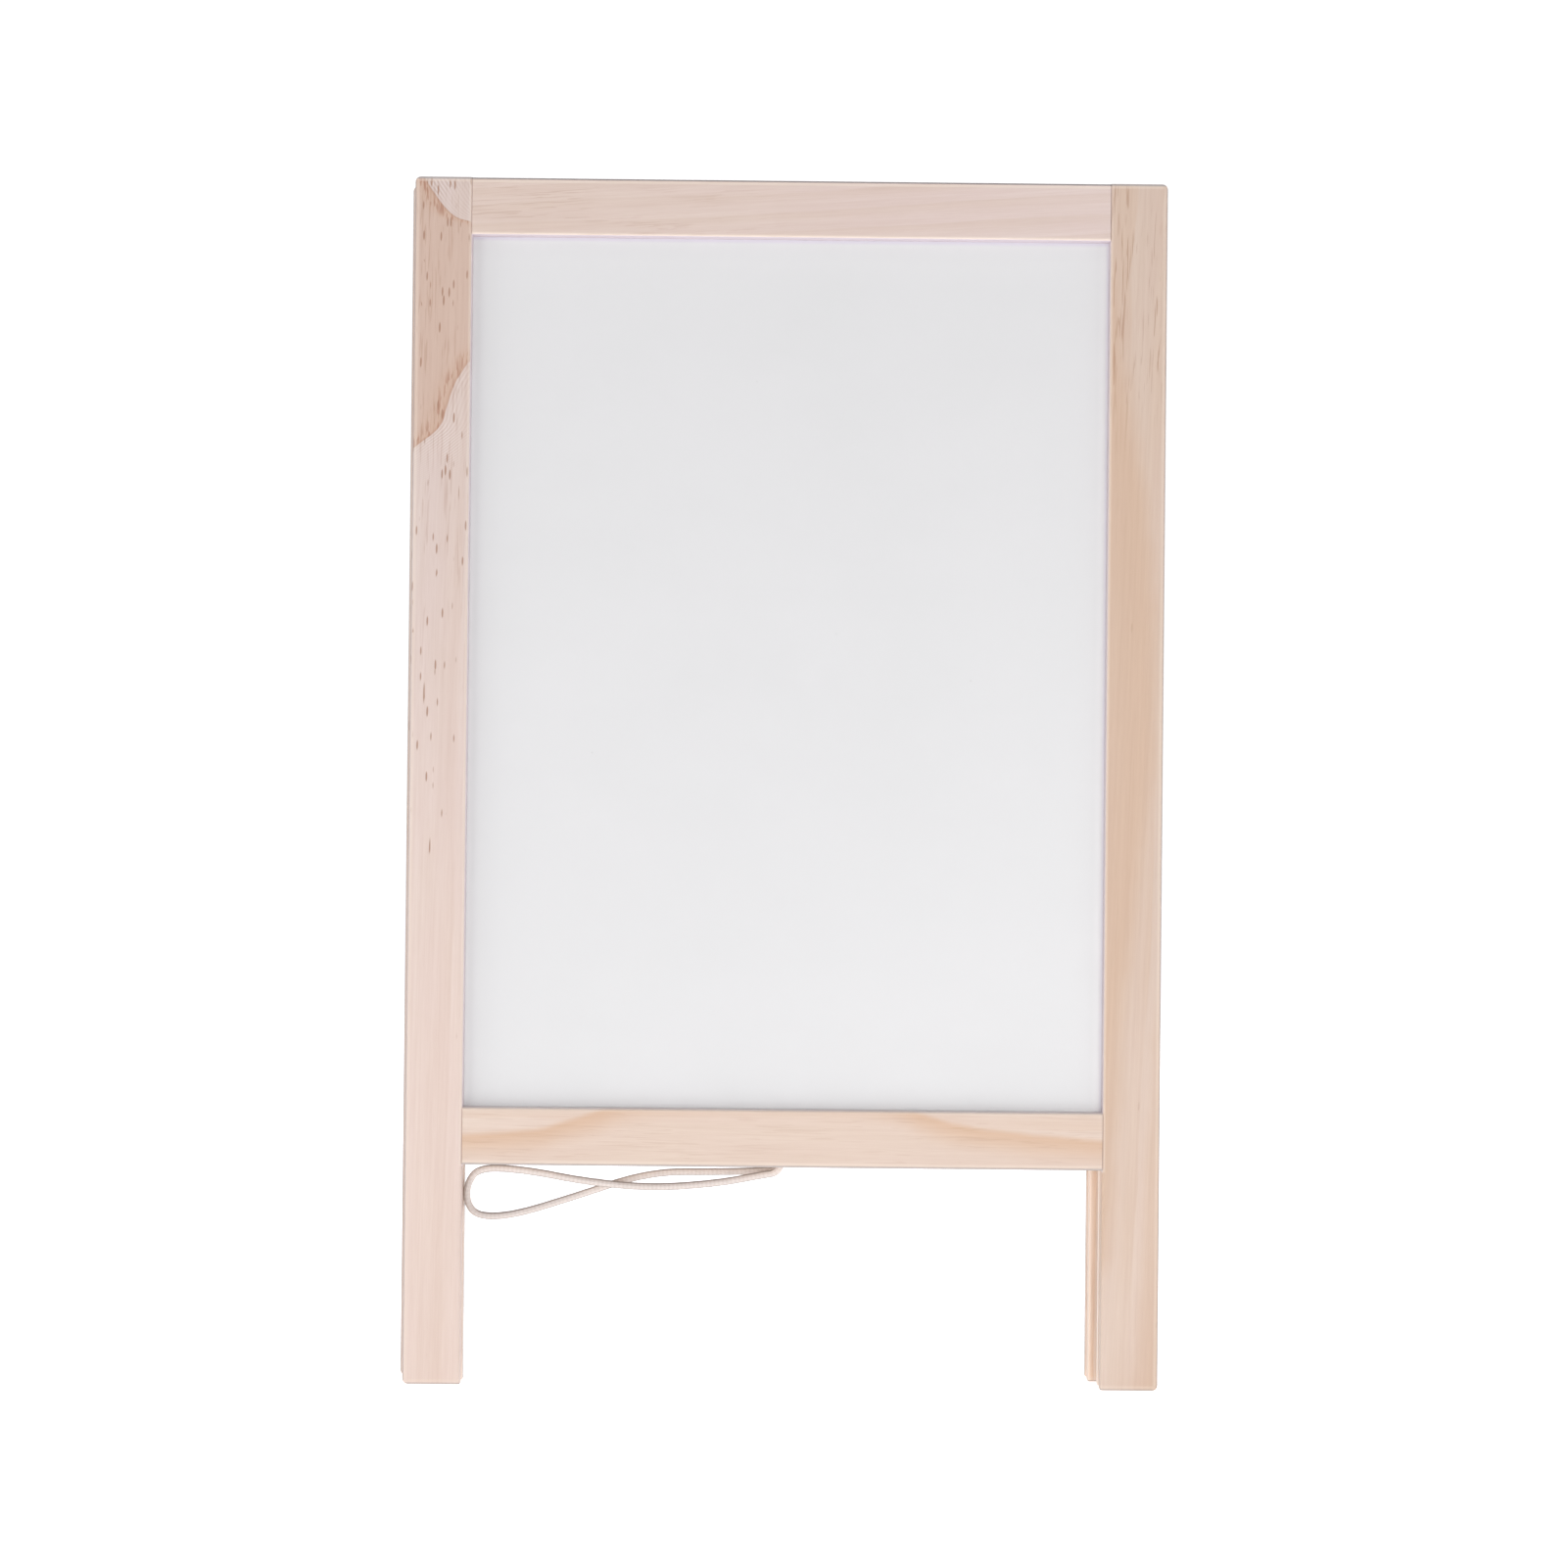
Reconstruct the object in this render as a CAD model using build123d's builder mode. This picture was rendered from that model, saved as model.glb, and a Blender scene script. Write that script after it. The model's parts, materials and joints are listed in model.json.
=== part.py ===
"""Folding desk easel: two pine frames, hinged at the top, each holding a magnetic whiteboard.

Row frame: millimetres, +Z up, the front board faces -Y, rest pose folded shut.
Origin: on the table, midway between the four feet.
"""

from build123d import *
from math import asin, atan, degrees, hypot, pi, radians, sin, sqrt, tan
import os

# ---------------------------------------------------------------- driving dimensions
frame_width = 250.0
frame_height = 400.0
stock_width = 19.0  # seen from the front
stock_thickness = 12.0
leg_length = 72.5  # foot to the underside of the bottom rail
frame_gap = 2.0  # room for the folded hinge leaves
rear_frame_side_set = 2.5  # the rear frame is hinged this much to the left

edge_round = 0.8  # eased arrises of the pine stock
outer_corner_round = 2.0  # sanded outer corners of each stile's ends
inner_corner_round = 1.0

groove_width = 3.2  # panel groove, run the whole length of every stile and rail
groove_depth = 4.5
tenon_play = 0.05  # glue line round the stub tenon, on each face
tenon_end_play = 0.2

sheet_thickness = 0.3  # white enamelled steel
core_thickness = 2.6  # fibreboard backing
panel_front_play = 0.1  # between the steel and the groove's outer cheek
panel_edge_play = 0.5  # between the panel's edge and the groove's bottom

hinge_inset = 31.0  # from the stile's inner side to the hinge's middle
hinge_length = 22.0
leaf_height = 9.5  # from the axis to the leaf's lower edge
leaf_thickness = 0.85
leaf_corner_round = 1.2
knuckle_radius = 1.4
knuckle_play = 0.2  # between neighbouring knuckles, end to end
knuckle_clearance = 0.15  # round the knuckles, to wood and to the other leaf
hinge_pin_radius = 0.7
hinge_pin_running_play = 0.05
hinge_pin_proud = 0.3

screw_spacing = 13.0
screw_drop = 5.9  # below the hinge axis
screw_radius = 1.0
screw_length = 8.0
screw_head_radius = 1.75
screw_play = 0.1  # leaf hole
pilot_play = 0.05  # pilot hole in the rail

cord_diameter = 2.4
cord_sides = 8  # the cord's solid is a plain many-sided tube
cord_hole_radius = 1.5
cord_hole_depth = 8.0
cord_hole_chamfer = 0.6

# ---------------------------------------------------------------- worked out from them
FRONT, REAR = -1, 1  # which way each frame's board faces, along Y
LEFT, RIGHT = -1, 1
frame_x = {FRONT: rear_frame_side_set / 2, REAR: -rear_frame_side_set / 2}
frame_y = {side: side * (frame_gap + stock_thickness) / 2 for side in (FRONT, REAR)}
opening_width = frame_width - 2 * stock_width
opening_height = frame_height - leg_length - 2 * stock_width
underside_z = leg_length
panel_width = opening_width + 2 * (groove_depth - panel_edge_play)
panel_height = opening_height + 2 * (groove_depth - panel_edge_play)
panel_z = leg_length + stock_width + opening_height / 2
tenon_length = groove_depth - tenon_end_play
tenon_thickness = groove_width - 2 * tenon_play
tenon_height = stock_width - groove_depth

# The knuckles nest between the rails' two eased top arrises, as low as their clearance lets them.
knuckle_rise = (
    sqrt((knuckle_radius + knuckle_clearance + edge_round) ** 2 - (frame_gap / 2 + edge_round) ** 2)
    - edge_round
)
axis_z = frame_height + knuckle_rise
knuckle_bore = hinge_pin_radius + hinge_pin_running_play
knuckle_length = (hinge_length - 2 * knuckle_play) / 3
knuckle_pitch = knuckle_length + knuckle_play
leaf_inner_y = frame_gap / 2 - leaf_thickness  # each leaf lies flat on its rail
notch_drop = knuckle_radius + knuckle_clearance
hinge_x = {hand: hand * (opening_width / 2 - hinge_inset) for hand in (LEFT, RIGHT)}
rail_low_z = {"bottom": leg_length, "top": frame_height - stock_width}


def elevation_plane(x, y, z):
    """A plane seen from the front: local X is the row's X, local Y its Z."""
    return Plane(origin=(x, y, z), x_dir=(1, 0, 0), z_dir=(0, -1, 0))


def section_plane(x, y, z):
    """A plane across X: local X is the row's Y, local Y its Z."""
    return Plane(origin=(x, y, z), x_dir=(0, 1, 0), z_dir=(1, 0, 0))


def inner_seat(side, x, gap_y, z):
    """A place this far from mid-gap, on one frame's side, with Z pointing towards the other frame."""
    return Plane(origin=(x, side * gap_y, z), x_dir=(1, 0, 0), z_dir=(0, -side, 0))


def screw_seats(side):
    """Where one frame's hinge screws sit, at the face of the hinge leaves."""
    return [
        inner_seat(side, hinge_x[hand] + end * screw_spacing / 2, leaf_inner_y, axis_z - screw_drop)
        for hand in (LEFT, RIGHT)
        for end in (-1, 1)
    ]


# ---------------------------------------------------------------- pine frames
def make_stile(side, hand):
    """Full-height upright with the panel groove running out at both ends."""
    x = frame_x[side] + hand * (frame_width - stock_width) / 2
    with BuildPart() as stile:
        with BuildSketch(Plane(origin=(x, frame_y[side], 0))) as section:
            Rectangle(stock_width, stock_thickness)
            fillet(section.vertices(), edge_round)
            with Locations((-hand * (stock_width - groove_depth) / 2, 0)):
                Rectangle(groove_depth, groove_width, mode=Mode.SUBTRACT)
        extrude(amount=frame_height)
        with BuildSketch(elevation_plane(x, frame_y[side], 0)) as outline:
            Rectangle(stock_width, frame_height, align=(Align.CENTER, Align.MIN))
            corners = outline.vertices().group_by(Axis.X)
            outer, inner = (corners[-1], corners[0]) if hand == RIGHT else (corners[0], corners[-1])
            fillet(outer, outer_corner_round)
            fillet(inner, inner_corner_round)
        extrude(amount=stock_thickness, both=True, mode=Mode.INTERSECT)
    return stile.part


def make_rail(side, which):
    """Cross rail: grooved for the panel on its inner edge, with a stub tenon at each end."""
    low = rail_low_z[which]
    groove_edge = 1 if which == "bottom" else -1  # +1 when the groove is in the upper edge
    middle = low + stock_width / 2
    start = frame_x[side] - opening_width / 2
    with BuildPart() as rail:
        with BuildSketch(section_plane(start, frame_y[side], middle)):
            Rectangle(stock_thickness, stock_width)
        extrude(amount=opening_width)
        fillet(rail.edges().filter_by(Axis.X), edge_round)
        with BuildSketch(section_plane(start, frame_y[side], middle)):
            with Locations((0, groove_edge * (stock_width - groove_depth) / 2)):
                Rectangle(groove_width, groove_depth)
        extrude(amount=opening_width, mode=Mode.SUBTRACT)
        with BuildSketch(section_plane(start - tenon_length, frame_y[side], middle)):
            with Locations((0, -groove_edge * groove_depth / 2)):
                Rectangle(tenon_thickness, tenon_height)
        extrude(amount=opening_width + 2 * tenon_length)
        if which == "bottom":
            with Locations(Plane(origin=(frame_x[side], frame_y[side], underside_z), z_dir=(0, 0, -1))):
                Hole(cord_hole_radius, depth=cord_hole_depth)
            mouth = rail.edges().filter_by(GeomType.CIRCLE).sort_by(Axis.Z)[0]
            chamfer(mouth, cord_hole_chamfer)
        else:
            with Locations(*[seat.offset(-leaf_thickness) for seat in screw_seats(side)]):
                Hole(screw_radius + pilot_play, depth=screw_length - leaf_thickness)
    return rail.part


# ---------------------------------------------------------------- magnetic boards
def make_panel_layer(side, outer_depth, thickness):
    """One layer of the laminated board, measured inwards from the frame's outer face."""
    y = side * (frame_gap / 2 + stock_thickness - outer_depth - thickness / 2)
    with BuildPart() as layer:
        with BuildSketch(elevation_plane(frame_x[side], y, panel_z)):
            Rectangle(panel_width, panel_height)
        extrude(amount=thickness / 2, both=True)
    return layer.part


sheet_depth = (stock_thickness - groove_width) / 2 + panel_front_play
core_depth = sheet_depth + sheet_thickness


# ---------------------------------------------------------------- fasteners
def make_hinge_screws(side):
    """Countersunk wood screws, two in each leaf of one frame."""
    head_height = screw_head_radius - screw_radius  # a right-angled countersink
    with BuildPart() as screw:
        with BuildSketch(Plane.XZ):
            with BuildLine():
                Polyline(
                    (0, 0),
                    (screw_head_radius, 0),
                    (screw_radius, -head_height),
                    (screw_radius, pilot_play - screw_length),
                    (0, pilot_play - screw_length),
                    close=True,
                )
            make_face()
        revolve(axis=Axis.Z)
    with BuildPart() as screws:
        with Locations(*screw_seats(side)):
            add(screw.part)
    return screws.part


# ---------------------------------------------------------------- butt hinges
def make_leaf(side, hand):
    """Rolled leaf: the front one carries the two outer knuckles, the rear one the middle knuckle."""
    start = hinge_x[hand] - hinge_length / 2
    leaf_y = side * (leaf_inner_y + leaf_thickness / 2)
    own_knuckles = (0, 2) if side == FRONT else (1,)
    with BuildPart() as leaf:
        with BuildSketch(section_plane(start, 0, axis_z)):
            with Locations((leaf_y, -notch_drop)):
                Rectangle(leaf_thickness, leaf_height - notch_drop, align=(Align.CENTER, Align.MAX))
        extrude(amount=hinge_length)
        fillet(leaf.edges().filter_by(Axis.Y).group_by(Axis.Z)[0], leaf_corner_round)
        for number in own_knuckles:
            with BuildSketch(section_plane(start + number * knuckle_pitch, 0, axis_z)):
                with Locations((leaf_y, 0)):
                    Rectangle(leaf_thickness, notch_drop, align=(Align.CENTER, Align.MAX))
                Circle(knuckle_radius)
                Circle(knuckle_bore, mode=Mode.SUBTRACT)
            extrude(amount=knuckle_length)
        holes = [seat for seat in screw_seats(side) if abs(seat.origin.X - hinge_x[hand]) < hinge_length / 2]
        with Locations(*holes):
            CounterSinkHole(screw_radius + screw_play, screw_head_radius + screw_play, depth=leaf_thickness)
    return leaf.part


def make_hinge_pin(hand):
    """Plain pin through the three knuckles, standing a little proud at both ends."""
    start = hinge_x[hand] - hinge_length / 2 - hinge_pin_proud
    with BuildPart() as pin:
        with BuildSketch(section_plane(start, 0, axis_z)):
            Circle(hinge_pin_radius)
        extrude(amount=hinge_length + 2 * hinge_pin_proud)
    return pin.part


# ---------------------------------------------------------------- stay cord
# Its route: (x, y, drop below the rails' underside). It leaves the front rail's hole, makes one slack
# figure-of-eight loop to the left leg and back, crosses the gap and ends in the rear rail's hole.
in_hole = -3.5
cord_route = [
    (frame_x[FRONT], frame_y[FRONT], in_hole),
    (frame_x[FRONT], frame_y[FRONT], 2.1),
    (-6.3, -7.4, 2.6),
    (-20.0, -8.3, 5.0),
    (-42.0, -9.2, 6.6),
    (-64.0, -8.9, 4.4),
    (-84.0, -8.0, 1.5),
    (-98.8, -7.5, 1.8),
    (-103.2, -7.0, 6.2),
    (-103.2, -6.4, 12.4),
    (-98.6, -5.9, 16.6),
    (-88.0, -5.4, 16.4),
    (-68.0, -4.9, 10.2),
    (-43.0, -4.6, 1.6),
    (-20.0, -4.5, 1.8),
    (-8.5, -4.2, 1.6),
    (frame_x[REAR], -3.9, 1.7),
    (frame_x[REAR], frame_y[REAR], 2.1),
    (frame_x[REAR], frame_y[REAR], in_hole),
]


def corner_radii(points):
    """As large an arc at each corner as its two runs allow."""
    radii = []
    for before, corner, after in zip(points, points[1:], points[2:]):
        run_in, run_out = corner - before, after - corner
        half_turn = radians(run_in.get_angle(run_out)) / 2
        radii.append(0.45 * min(run_in.length, run_out.length) / tan(half_turn))
    return radii


def make_stay_cord():
    points = [Vector(x, y, underside_z - drop) for x, y, drop in cord_route]
    radii = corner_radii(points)
    with BuildPart() as cord:
        with BuildLine():
            path = FilletPolyline(*points, radius=radii)
        with BuildSketch(Plane(origin=path @ 0, z_dir=path % 0)):
            RegularPolygon(cord_diameter / 2, cord_sides)
        sweep()
    print("cord radii, in diameters:", [round(r / cord_diameter, 1) for r in radii])
    report_cord(path.length, cord.part.volume)
    return cord.part


def report_cord(length, volume):
    """Length, a volume test, and how far the cord lets the frames open."""
    section = cord_sides * cord_diameter**2 / 8 * sin(2 * pi / cord_sides)
    free = length - 2 * (-in_hole)
    reach = hypot(axis_z - underside_z, frame_y[REAR])
    opening = degrees(2 * asin(free / 2 / reach) - 2 * atan(frame_y[REAR] / (axis_z - underside_z)))
    print(f"cord {length:.1f} mm, free {free:.1f} mm, volume over section x length {volume / section / length:.4f}")
    print(f"frames open to {opening:.1f} degrees, hinge axis at z = {axis_z:.3f} mm")


# ---------------------------------------------------------------- all pieces
pieces = {}
for side, frame in ((FRONT, "front"), (REAR, "rear")):
    pieces[f"{frame}_left_stile"] = make_stile(side, LEFT)
    pieces[f"{frame}_right_stile"] = make_stile(side, RIGHT)
    pieces[f"{frame}_top_rail"] = make_rail(side, "top")
    pieces[f"{frame}_bottom_rail"] = make_rail(side, "bottom")
    pieces[f"{frame}_board_sheet"] = make_panel_layer(side, sheet_depth, sheet_thickness)
    pieces[f"{frame}_board_core"] = make_panel_layer(side, core_depth, core_thickness)
    pieces[f"{frame}_hinge_screws"] = make_hinge_screws(side)
    for hand, which in ((LEFT, "left"), (RIGHT, "right")):
        pieces[f"{which}_hinge_{frame}_leaf"] = make_leaf(side, hand)
for hand, which in ((LEFT, "left"), (RIGHT, "right")):
    pieces[f"{which}_hinge_pin"] = make_hinge_pin(hand)
pieces["stay_cord"] = make_stay_cord()

os.makedirs("parts", exist_ok=True)
for name, piece in pieces.items():
    piece.label = name
    export_step(piece, f"parts/{name}.step")
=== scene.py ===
import json
from math import atan2, cos, pi, radians, sin

import bmesh
import bpy
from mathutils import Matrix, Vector


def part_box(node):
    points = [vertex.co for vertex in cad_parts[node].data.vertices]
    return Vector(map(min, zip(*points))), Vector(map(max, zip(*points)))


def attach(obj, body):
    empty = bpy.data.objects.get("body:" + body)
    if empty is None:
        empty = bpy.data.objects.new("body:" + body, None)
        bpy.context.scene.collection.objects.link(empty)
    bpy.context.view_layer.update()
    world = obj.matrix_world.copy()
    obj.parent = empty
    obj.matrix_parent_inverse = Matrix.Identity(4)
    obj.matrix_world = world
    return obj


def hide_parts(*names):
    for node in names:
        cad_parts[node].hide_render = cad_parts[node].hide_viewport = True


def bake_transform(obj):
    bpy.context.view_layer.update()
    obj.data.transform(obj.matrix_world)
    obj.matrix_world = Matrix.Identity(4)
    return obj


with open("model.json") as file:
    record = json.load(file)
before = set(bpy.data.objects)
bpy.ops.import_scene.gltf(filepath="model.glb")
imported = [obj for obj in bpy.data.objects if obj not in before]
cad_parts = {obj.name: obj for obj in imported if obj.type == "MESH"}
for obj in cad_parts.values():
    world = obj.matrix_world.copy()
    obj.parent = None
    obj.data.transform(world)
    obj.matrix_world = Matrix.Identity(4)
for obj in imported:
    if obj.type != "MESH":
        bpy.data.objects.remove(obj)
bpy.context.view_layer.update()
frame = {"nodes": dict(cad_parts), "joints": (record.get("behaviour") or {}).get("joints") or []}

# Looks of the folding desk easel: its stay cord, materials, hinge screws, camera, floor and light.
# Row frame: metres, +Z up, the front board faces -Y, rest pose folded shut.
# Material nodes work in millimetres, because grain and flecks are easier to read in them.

scene = bpy.context.scene
scene.view_settings.view_transform = "Standard"
nodes = frame["nodes"]
fold = frame["joints"][0]

MM = 0.001
FRONT, REAR = -1, 1  # which way each frame's board faces, along Y

# ---------------------------------------------------------------- sizes read from the frame
underside_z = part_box("front_bottom_rail")[0].z
hinge_axis_z = fold["pos_m"][2]
fold_limit = radians(max(abs(end) for end in fold["range_deg"]))
front_stile_low, front_stile_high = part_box("front_left_stile")
rear_stile_low, rear_stile_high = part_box("rear_left_stile")
front_rail_y = (front_stile_low.y + front_stile_high.y) / 2
rear_rail_y = (rear_stile_low.y + rear_stile_high.y) / 2
front_frame_x = (front_stile_low.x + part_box("front_right_stile")[1].x) / 2
rear_frame_x = (rear_stile_low.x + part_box("rear_right_stile")[1].x) / 2


# ---------------------------------------------------------------- small helpers
def smoothstep(value, low, high):
    t = min(max((value - low) / (high - low), 0.0), 1.0)
    return t * t * (3 - 2 * t)


def add_object(name, data):
    made = bpy.data.objects.new(name, data)
    scene.collection.objects.link(made)
    return made


class Graph:
    """Short names for the shader nodes that the materials and the world use."""

    def __init__(self, owner):
        owner.use_nodes = True
        self.owner = owner
        self.tree = owner.node_tree

    def node(self, kind, **settings):
        made = self.tree.nodes.new(kind)
        for key, value in settings.items():
            setattr(made, key, value)
        return made

    def feed(self, socket, value):
        if isinstance(value, bpy.types.NodeSocket):
            self.tree.links.new(value, socket)
        else:
            socket.default_value = value

    def feed_all(self, sockets, values):
        for socket, value in zip(sockets, values):
            self.feed(socket, value)

    def surface(self, looks):
        """Feeds the inputs of the material's shader that looks names, and returns the material."""
        inputs = self.tree.nodes["Principled BSDF"].inputs
        self.feed_all([inputs[name] for name in looks], looks.values())
        return self.owner

    def math(self, operation, *values, clamp=False):
        made = self.node("ShaderNodeMath", operation=operation, use_clamp=clamp)
        self.feed_all(made.inputs, values)
        return made.outputs[0]

    def chain(self, operation, result, *others):
        """One math node after another, each on the result so far."""
        for other in others:
            result = self.math(operation, result, other)
        return result

    def plus(self, *values):
        return self.chain("ADD", *values)

    def minus(self, *values):
        return self.chain("SUBTRACT", *values)

    def times(self, *values):
        return self.chain("MULTIPLY", *values)

    def over(self, *values):
        return self.chain("DIVIDE", *values)

    def greatest(self, *values):
        return self.chain("MAXIMUM", *values)

    def least(self, *values):
        return self.chain("MINIMUM", *values)

    def added(self, base, value, weight):
        """The base plus the value times its weight."""
        return self.math("MULTIPLY_ADD", value, weight, base)

    def absolute(self, value):
        return self.math("ABSOLUTE", value)

    def vector(self, operation, *values):
        made = self.node("ShaderNodeVectorMath", operation=operation)
        self.feed_all(made.inputs, values)
        return made.outputs["Value" if operation == "LENGTH" else "Vector"]

    def step(self, value, low, high, bottom=0.0, top=1.0):
        """Smoothly from bottom to top while value goes from low to high."""
        made = self.node("ShaderNodeMapRange", interpolation_type="SMOOTHSTEP")
        self.feed_all(made.inputs, (value, low, high, bottom, top))
        return made.outputs[0]

    def fall(self, value, low, high, top=1.0):
        """Smoothly from top to 0 while value goes from low to high."""
        return self.step(value, low, high, top, 0.0)

    def noise(self, point, scale, detail=2.0, roughness=0.5, distortion=0.0):
        made = self.node("ShaderNodeTexNoise")
        names = ("Vector", "Scale", "Detail", "Roughness", "Distortion")
        self.feed_all([made.inputs[name] for name in names], (point, scale, detail, roughness, distortion))
        return made.outputs[0]

    def cells(self, point, scale=1.0):
        """Random cells: how far it is to a cell's heart, and the cell's own number from 0 to 1."""
        made = self.node("ShaderNodeTexVoronoi")
        self.feed_all([made.inputs[name] for name in ("Vector", "Scale")], (point, scale))
        return made.outputs["Distance"], self.split(made.outputs["Color"])[0]

    def mix(self, factor, first, second, blend="MIX"):
        made = self.node("ShaderNodeMix", data_type="RGBA", blend_type=blend)
        self.feed(made.inputs["Factor"], factor)
        for socket, colour in zip(made.inputs[6:8], (first, second)):  # the two colour inputs
            self.feed(socket, (*colour, 1.0) if isinstance(colour, tuple) else colour)
        return made.outputs[2]

    def tint(self, tone, colour, factor=1.0):
        """The tone multiplied by a colour, as far as factor says."""
        return self.mix(factor, tone, colour, "MULTIPLY")

    def split(self, point):
        made = self.node("ShaderNodeSeparateXYZ")
        self.feed(made.inputs[0], point)
        return made.outputs

    def join(self, x, y, z):
        made = self.node("ShaderNodeCombineXYZ")
        self.feed_all(made.inputs, (x, y, z))
        return made.outputs[0]

    def curve(self, value, points):
        """The smooth line through (value, result) points that are given in rising order."""
        (first, _), (last, _) = points[0], points[-1]
        lowest = min(result for _, result in points)
        highest = max(result for _, result in points)
        made = self.node("ShaderNodeFloatCurve")
        line = made.mapping.curves[0]
        for _ in points[2:]:
            line.points.new(0.5, 0.5)
        for knot, (start, result) in zip(line.points, points):
            knot.location = ((start - first) / (last - first), (result - lowest) / (highest - lowest))
        made.mapping.update()
        share = self.math("DIVIDE", self.minus(value, first), last - first, clamp=True)
        self.feed(made.inputs["Value"], share)
        return self.added(lowest, made.outputs[0], highest - lowest)

    def place(self):
        """Where a point of the piece is in the row frame, in millimetres."""
        metres = self.node("ShaderNodeTexCoord").outputs["Object"]
        return self.vector("MULTIPLY", metres, (1 / MM, 1 / MM, 1 / MM))

    def bump(self, height, distance, strength):
        made = self.node("ShaderNodeBump")
        names = ("Height", "Distance", "Strength")
        self.feed_all([made.inputs[name] for name in names], (height, distance, strength))
        return made.outputs[0]


def new_material(name):
    return Graph(bpy.data.materials.new(name))


def dress(node, material):
    """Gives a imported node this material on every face."""
    for slot in nodes[node].material_slots:
        slot.material = material


# ---------------------------------------------------------------- camera, at the photograph's viewing angle
camera_data = bpy.data.cameras.new("camera")
camera_data.lens = 62.7
camera_data.sensor_width = 36.0
camera = add_object("camera", camera_data)
camera.location = (-0.002, -0.918, 0.192)
camera.rotation_euler = (radians(90.48), radians(-0.58), radians(-0.17))
scene.camera = camera

# ---------------------------------------------------------------- stay cord
# Control points: (x, y, drop below the rails' underside) in metres, as in the CAD source. The cord leaves the
# front rail's hole, makes a slack figure of eight to the left leg and back, and ends in the rear rail's hole.
cord_diameter = 0.0024
cord_strands = 8
in_hole = -0.0035  # how deep its ends are glued into the rails
cord_route = [
    (front_frame_x, front_rail_y, in_hole),
    (front_frame_x, front_rail_y, 0.0021),
    (-0.0063, -0.0074, 0.0033),
    (-0.0200, -0.0083, 0.0059),
    (-0.0420, -0.0092, 0.0076),
    (-0.0640, -0.0089, 0.0057),
    (-0.0840, -0.0080, 0.0021),
    (-0.0992, -0.0075, 0.0014),
    (-0.1034, -0.0070, 0.0064),
    (-0.1038, -0.0064, 0.0134),
    (-0.1000, -0.0059, 0.0181),
    (-0.0880, -0.0054, 0.0176),
    (-0.0680, -0.0049, 0.0113),
    (-0.0430, -0.0046, 0.0028),
    (-0.0200, -0.0045, 0.0026),
    (-0.0085, -0.0042, 0.0023),
    (rear_frame_x, -0.0039, 0.0019),
    (rear_frame_x, rear_rail_y, 0.0021),
    (rear_frame_x, rear_rail_y, in_hole),
]


def spline_line(points, resolution=64):
    """Points along the smooth NURBS line that these control points give."""
    curve = bpy.data.curves.new("cord_line", "CURVE")
    curve.dimensions = "3D"
    curve.resolution_u = resolution
    spline = curve.splines.new("NURBS")
    spline.points.add(len(points) - 1)
    for knot, point in zip(spline.points, points):
        knot.co = (*point, 1.0)
    spline.order_u = 3
    spline.use_endpoint_u = True
    holder = bpy.data.objects.new("cord_line", curve)
    line_mesh = bpy.data.meshes.new_from_object(holder)
    line = [vertex.co.copy() for vertex in line_mesh.vertices]
    bpy.data.objects.remove(holder)
    bpy.data.curves.remove(curve)
    bpy.data.meshes.remove(line_mesh)
    return line


def respaced(line, step_at):
    """The same line with its points step_at(point) apart."""
    spaced = [line[0]]
    gone = 0.0
    for start, end in zip(line, line[1:]):
        run = (end - start).length
        while run > 0 and gone + run >= step_at(start):
            start = start.lerp(end, (step_at(start) - gone) / run)
            run = (end - start).length
            spaced.append(start)
            gone = 0.0
        gone += run
    spaced.append(line[-1])
    return spaced


# The run across the gap between the frames stretches when they open, so its rings stand close together.
stretch_start = -0.0005
stretch_end = 0.0040
ring_step = 0.00030
stretch_ring_step = 0.00004


def cord_ring_step(point):
    near = stretch_start - ring_step < point.y < stretch_end + ring_step
    return stretch_ring_step if near else ring_step


def make_cord():
    route = [Vector((x, y, underside_z - drop)) for x, y, drop in cord_route]
    line = respaced(spline_line(route), cord_ring_step)
    sides = 20
    ridge = 0.02  # how far the plaited strands stand out, as a share of the radius
    twist = 0.011  # one turn of the plait, along the cord
    opened_run = 2 * (hinge_axis_z - underside_z) * sin(fold_limit / 2)
    mesh = bmesh.new()
    cord_uv = mesh.loops.layers.uv.new("cord")
    rings, alongs = [], []
    side = Vector((0, 1, 0))
    along = 0.0
    for number, point in enumerate(line):
        ahead = (line[min(number + 1, len(line) - 1)] - line[max(number - 1, 0)]).normalized()
        side = (side - ahead * side.dot(ahead)).normalized()
        other = ahead.cross(side)
        along += (point - line[max(number - 1, 0)]).length
        opened = along + opened_run * smoothstep(point.y, stretch_start, stretch_end)
        rise = 2 * pi * opened / twist
        ring = []
        for turn in range(sides):
            angle = 2 * pi * turn / sides
            strand = cord_strands / 2 * angle
            plait = cos(strand + rise) * cos(strand - rise)
            radius = cord_diameter / 2 * (1 - ridge + ridge * plait)
            ring.append(mesh.verts.new(point + radius * (cos(angle) * side + sin(angle) * other)))
        rings.append(ring)
        alongs.append(opened)
    for (ring, start), (after, end) in zip(zip(rings, alongs), zip(rings[1:], alongs[1:])):
        for turn in range(sides):
            turned = (turn + 1) % sides
            face = mesh.faces.new((ring[turn], ring[turned], after[turned], after[turn]))
            face.smooth = True
            corners = (turn, start), (turn + 1, start), (turn + 1, end), (turn, end)
            for loop, (around, gone) in zip(face.loops, corners):
                loop[cord_uv].uv = (around / sides, gone / cord_diameter)
    mesh.faces.new(reversed(rings[0]))
    mesh.faces.new(rings[-1])
    data = bpy.data.meshes.new("stay_cord_tube")
    mesh.to_mesh(data)
    mesh.free()
    return add_object("stay_cord_tube", data), line


cord, cord_line = make_cord()
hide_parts("stay_cord")
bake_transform(cord)

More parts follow.
